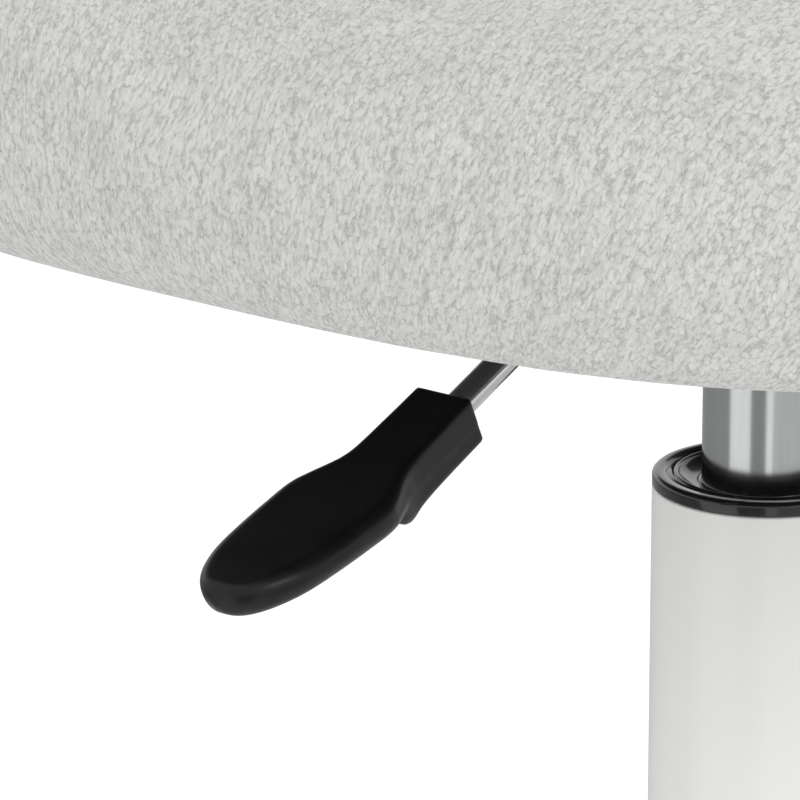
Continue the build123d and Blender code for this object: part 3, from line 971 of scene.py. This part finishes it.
@dataclass
class Welds:
    """Ripply weld beads that join the mechanism's sleeve, bracket and plate."""

    finishes: Finishes
    bead: float = 1.5 * MM
    ripples: int = 46

    def sleeve_bead(self) -> Piece:
        """Bead round the sleeve, under the bracket."""
        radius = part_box("mechanism_sleeve")[1].x
        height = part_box("mechanism_bracket")[0].z - 0.2 * MM
        ring = lathe("sleeve_bead", arc((radius, height), self.bead, 0, 324, 9), 368)
        for vert in ring.data.vertices:
            angle = math.atan2(vert.co.y, vert.co.x)
            share = 1 + 0.16 * abs(math.sin(self.ripples / 2 * angle)) + 0.06 * math.sin(5 * angle)
            out = (vert.co.xy.length - radius) * share
            vert.co.x, vert.co.y = (radius + out) * math.cos(angle), (radius + out) * math.sin(angle)
            vert.co.z = height + (vert.co.z - height) * share
        return ring

    def plate_bead(self, side: int) -> Piece:
        """Straight bead along one upper edge of the bracket."""
        low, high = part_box("mechanism_bracket")
        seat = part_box("mechanism_plate")[0].z
        half = (high.x - low.x) / 2 - 6 * MM
        count = 80
        sections = []
        for ring in range(count + 1):
            share = ring / count
            taper = math.sqrt(max(0.05, math.sin(math.pi * share)))
            ripple = 0.85 + 0.15 * abs(math.sin(share * math.pi * 22))
            size = self.bead * ripple * min(1.0, taper * 1.3)
            sections.append(Section(-half + 2 * half * share, size, -size, size, size))
        place = Matrix.Translation(((low.x + high.x) / 2, side * high.y, seat))
        return loft(f"plate_bead_{side}", sections, place, 4)

    def build(self) -> None:
        """Model the beads."""
        piece = join(self.sleeve_bead(), self.plate_bead(-1), self.plate_bead(1))
        settle(piece, "mechanism_welds", 50)
        seat_piece(piece, self.finishes, Slot.BLACK_STEEL, "seat")


# ------ lever


@dataclass
class LeverHandle:
    """Moulded paddle: a boxy socket on the rod that spreads into a thin rounded blade."""

    finishes: Finishes
    droop_deg: float = 24.0
    bend_x: float = -66 * MM
    start: float = 47.9 * MM
    rod_radius: float = 3.2 * MM
    socket_up: float = 5.8 * MM
    socket_down: float = 5.8 * MM
    lift: float = math.tan(math.radians(7.8))
    lift_from: float = 20 * MM
    blade: float = 7.8 * MM
    length: float = 75.8 * MM
    nose_from: float = 24 * MM
    nose_to: float = 34 * MM
    outline: tuple[tuple[float, float], ...] = (
        (0, 7.5), (11, 7.7), (20, 8.1), (25, 9.0), (31, 11.9), (36, 13.9), (44, 14.0), (54, 13.4),
        (62, 12.3), (68, 10.2), (72, 7.6), (74.8, 4.2), (75.8, 1.0))
    rings: int = 46

    def frame(self) -> Matrix:
        """Matrix that runs along the drooping end of the rod."""
        lean = math.radians(self.droop_deg)
        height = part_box("lever_rod")[1].z - self.rod_radius
        along = Vector((-math.cos(lean), 0, -math.sin(lean)))
        up = Vector((-math.sin(lean), 0, math.cos(lean)))
        across = up.cross(along)
        origin = Vector((self.bend_x, 0, height)) + along * self.start
        turn = Matrix((along, across, up)).transposed().to_4x4()
        return Matrix.Translation(origin) @ turn

    def crest(self, place: float) -> float:
        """Height of the top face at a distance from the socket's end."""
        rise = max(0.0, place - self.lift_from)
        ease = rise ** 2 / (rise + 6 * MM) if rise else 0.0
        return self.socket_up + ease * self.lift

    def blade_form(self) -> Piece:
        """Thin blade with a fully rounded rim and tip."""
        sections = []
        for ring in range(self.rings + 1):
            share = ring / self.rings
            place = self.length * math.sin(share * math.pi / 2) if share > 0 else 0.0
            width = between(self.outline, place / MM)[0] * MM
            high = self.crest(place)
            half = self.blade / 2
            over = max(0.0, place - (self.length - half))
            thin = math.sqrt(max(0.02, 1 - (over / half) ** 2))
            drop = 0.35 * half * (1 - thin)
            bluff = between(((0, 1.3), (20, 1.5), (36, 3.2), (80, 3.9)), place / MM)[0] * MM
            middle = high - half - drop
            sections.append(Section(place, width, middle - half * thin, middle + half * thin, bluff))
        return loft("handle_blade", sections, self.frame())

    def socket_form(self) -> Piece:
        """Boxy socket whose lower end closes in a rounded nose under the blade."""
        sections = []
        count = 18
        for ring in range(count + 1):
            place = self.nose_to * ring / count
            width = between(self.outline, place / MM)[0] * MM
            over = max(0.0, (place - self.nose_from) / (self.nose_to - self.nose_from))
            shrink = math.sqrt(max(0.0, 1 - over ** 2))
            high = self.crest(place) - 0.6 * MM
            low = high - 3 * MM - (high - 3 * MM + self.socket_down) * shrink
            width = width * (0.72 + 0.28 * shrink) - 0.1 * MM
            sections.append(Section(place, width, low, high, 1.6 * MM))
        return loft("handle_socket", sections, self.frame())

    def build(self) -> None:
        """Model the handle and put it on the lever."""
        piece = join(self.blade_form(), self.socket_form())
        fuse(piece, 0.45 * MM, 6)
        ends = [(self.rod_radius, -5 * MM), (self.rod_radius, 26 * MM)]
        bore = lathe("handle_bore", ends, 48, closed=False)
        turn = self.frame() @ Matrix.Rotation(math.pi / 2, 4, "Y")
        bore.data.transform(turn)
        cut(piece, bore)
        settle(piece, "lever_paddle", 40)
        seat_piece(piece, self.finishes, Slot.SATIN_BLACK, "lever", "lever_handle")


# ------ base


@dataclass
class StarBase:
    """Five tapering arms that flow into one hub, each with a caster socket at its end."""

    finishes: Finishes
    arm_count: int = 5
    first_deg: float = 90.0
    reach: float = 250 * MM
    socket_radius: float = 15 * MM
    stem_radius: float = 5.6 * MM
    socket_ends: tuple[float, float] = (62 * MM, 91 * MM)
    socket_edge: float = 2.5 * MM
    hub_radius: float = 33 * MM
    sections: tuple[tuple[float, float, float, float], ...] = (
        (20, 19.0, 93, 143.5), (60, 18.0, 90, 136), (120, 16.3, 82, 121), (190, 14.6, 72.5, 105),
        (246, 13.3, 64.5, 92))
    rings: int = 24

    def heading(self, number: int) -> float:
        """Angle of an arm about Z."""
        return math.radians(self.first_deg + 360 / self.arm_count * number)

    def arm(self, number: int) -> Piece:
        """One arm with its socket."""
        place = Matrix.Rotation(self.heading(number), 4, "Z")
        sections = []
        first, last = self.sections[0][0], self.sections[-1][0]
        for ring in range(self.rings + 1):
            along = first + (last - first) * ring / self.rings
            half_width, low, high = between(self.sections, along)
            crown = 8.0 + 3.0 * ring / self.rings
            sections.append(Section(along * MM, half_width * MM, low * MM, high * MM, crown * MM))
        limb = loft(f"arm_{number}", sections, place)
        foot, crest = self.socket_ends
        edge = self.socket_edge
        profile = [(self.socket_radius - 1 * MM, foot), (self.socket_radius, foot + 1 * MM)]
        profile += arc((self.socket_radius - edge, crest - edge), edge, 0, 80, 4)
        end = lathe(f"socket_{number}", profile, 48, closed=False)
        end.data.transform(place @ Matrix.Translation((self.reach, 0, 0)))
        return join(limb, end)

    def hub(self) -> Piece:
        """Hub that flares down to the arms."""
        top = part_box("star_base")[1].z
        radius = self.hub_radius
        profile = [(radius - 2 * MM, 88 * MM), (radius, 90 * MM), (radius, 100 * MM), (radius, top - 4 * MM)]
        profile += arc((radius - 4 * MM, top - 4 * MM), 4 * MM, 0, 85, 5)[1:]
        return lathe("hub", profile, 96, closed=False)

    def build(self) -> None:
        """Model the base."""
        piece = self.hub()
        join(piece, *[self.arm(number) for number in range(self.arm_count)])
        fuse(piece, 1.6 * MM, 5)
        tube_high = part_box("outer_tube")[1]
        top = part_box("star_base")[1].z
        gap = 0.05 * MM
        foot = tube_high.x - (top - 60 * MM) * COLUMN_TAPER
        wide = tube_high.x + gap
        ends = [(foot + gap, 60 * MM), (wide, top), (wide, top + 20 * MM)]
        bore = lathe("hub_bore", ends, 96, closed=False)
        cut(piece, bore)
        for number in range(self.arm_count):
            angle = self.heading(number)
            spot = (self.reach * math.cos(angle), self.reach * math.sin(angle), 0)
            ends = [(self.stem_radius, 50 * MM), (self.stem_radius, 86.2 * MM)]
            hole = lathe("stem_bore", ends, 40, closed=False)
            hole.data.transform(Matrix.Translation(spot))
            cut(piece, hole)
        settle(piece, "five_arm_base", 40)
        seat_piece(piece, self.finishes, Slot.WHITE_PAINT, "base", "star_base")


# ------ studio


@dataclass
class Studio:
    """Pale floor, soft light and the camera."""

    azimuth_deg: float = -50.0
    elevation_deg: float = 16.6
    distance: float = 1.30
    lens: float = 263.25
    sensor: float = 36.0
    collar_across: float = 81.0 * MM
    collar_down: float = 15.56 * MM
    flag_radius: float = 0.5
    flag_height: float = 0.3

    def floor(self) -> None:
        """Wide pale floor that meets the stool's wheels."""
        deselect()
        bpy.ops.mesh.primitive_plane_add(size=24, location=(0, 0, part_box("wheel_1_left")[0].z - STAGE_DEPTH))
        floor = bpy.context.object
        floor = settle(floor, "studio_floor")
        n = Nodes("studio_floor")
        n.set(Base_Color=(0.93, 0.93, 0.93, 1), Roughness=0.9, Specular_IOR_Level=0.1)
        n.set(Emission_Color=(1, 1, 1, 1), Emission_Strength=0.14)
        dress(floor, n.material)

    def flag(self, name: str, first_deg: float, last_deg: float, grey: float) -> None:
        """Grey curved card round the stool that shows only in reflections.

        Args:
            name: Name of the card.
            first_deg: Where it starts, in degrees about Z.
            last_deg: Where it ends.
            grey: Its tone, 0 black and 1 white.
        """
        deselect()
        bpy.ops.mesh.primitive_cylinder_add(vertices=180, radius=self.flag_radius, depth=self.flag_height,
                                            end_fill_type="NOTHING", location=(0, 0, self.flag_height / 2))
        card = bpy.context.object
        bpy.ops.object.mode_set(mode="EDIT")
        pick(card, lambda v: not first_deg <= math.degrees(math.atan2(v.co.y, v.co.x)) % 360 <= last_deg)
        bpy.ops.mesh.delete(type="VERT")
        settle(card, name)
        n = Nodes(name)
        n.set(Base_Color=(grey, grey, grey, 1), Roughness=0.9, Specular_IOR_Level=0.0)
        dress(card, n.material)
        card.visible_camera = False
        card.visible_diffuse = False
        card.visible_shadow = False

    def light(self, name: str, place: Point, aim: Point, size: float, watts: float) -> None:
        """One large soft area light.

        Args:
            name: Name of the light.
            place: Where it stands.
            aim: Point it faces.
            size: Side of its square.
            watts: Its power.
        """
        data = bpy.data.lights.new(name, "AREA")
        data.shape = "SQUARE"
        data.size = size
        data.energy = watts
        lamp = bpy.data.objects.new(name, data)
        lamp.location = place
        lamp.rotation_euler = (Vector(aim) - Vector(place)).to_track_quat("-Z", "Y").to_euler()
        bpy.context.scene.collection.objects.link(lamp)

    def world(self) -> None:
        """Even white surroundings."""
        world = bpy.data.worlds.new("studio")
        world.use_nodes = True
        background = world.node_tree.nodes["Background"]
        background.inputs["Color"].default_value = (1, 1, 1, 1)
        background.inputs["Strength"].default_value = 1.0
        bpy.context.scene.world = world
        bpy.context.scene.view_settings.view_transform = "Standard"

    def camera(self) -> None:
        """Camera at the reference angle, with the collar to the right of and below the view axis."""
        azimuth = math.radians(self.azimuth_deg)
        elevation = math.radians(self.elevation_deg)
        right = Vector((math.cos(azimuth), math.sin(azimuth), 0))
        forward = Vector((-math.sin(azimuth) * math.cos(elevation),
                          math.cos(azimuth) * math.cos(elevation), -math.sin(elevation)))
        up = right.cross(forward)
        collar = Vector((0, 0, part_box("guide_bushing")[1].z))
        data = bpy.data.cameras.new("camera")
        data.lens = self.lens
        data.sensor_width = self.sensor
        data.clip_end = 100
        camera = bpy.data.objects.new("camera", data)
        target = collar - right * self.collar_across + up * self.collar_down
        camera.location = target - forward * self.distance
        camera.rotation_euler = forward.to_track_quat("-Z", "Y").to_euler()
        bpy.context.scene.collection.objects.link(camera)
        bpy.context.scene.camera = camera

    def build(self) -> None:
        """Set up the whole studio."""
        self.floor()
        self.world()
        self.flag("left_flag", 30, 150, 0.36)
        self.flag("front_flag", 190, 220, 0.36)
        self.flag("right_flag", 228, 350, 0.72)
        self.light("key_light", (-0.5, -2.4, 1.9), (0, 0, 0.35), 1.3, 17)
        self.light("top_light", (-0.6, 0.2, 3.0), (0, 0, 0.35), 2.5, 3)
        self.camera()


def main() -> None:
    """Build every piece in order."""
    logging.basicConfig(level=logging.INFO, format="%(name)s: %(message)s")
    finishes = Finishes()
    finishes.build()
    finishes.dress_frame()
    cushion = SeatCushion(finishes)
    parts = (cushion, Underside(finishes, cushion), Column(finishes), Welds(finishes), LeverHandle(finishes),
             StarBase(finishes), Studio())
    for part in parts:
        part.build()
        log.info("%s done", type(part).__name__)


if __name__ == "__main__":
    main()
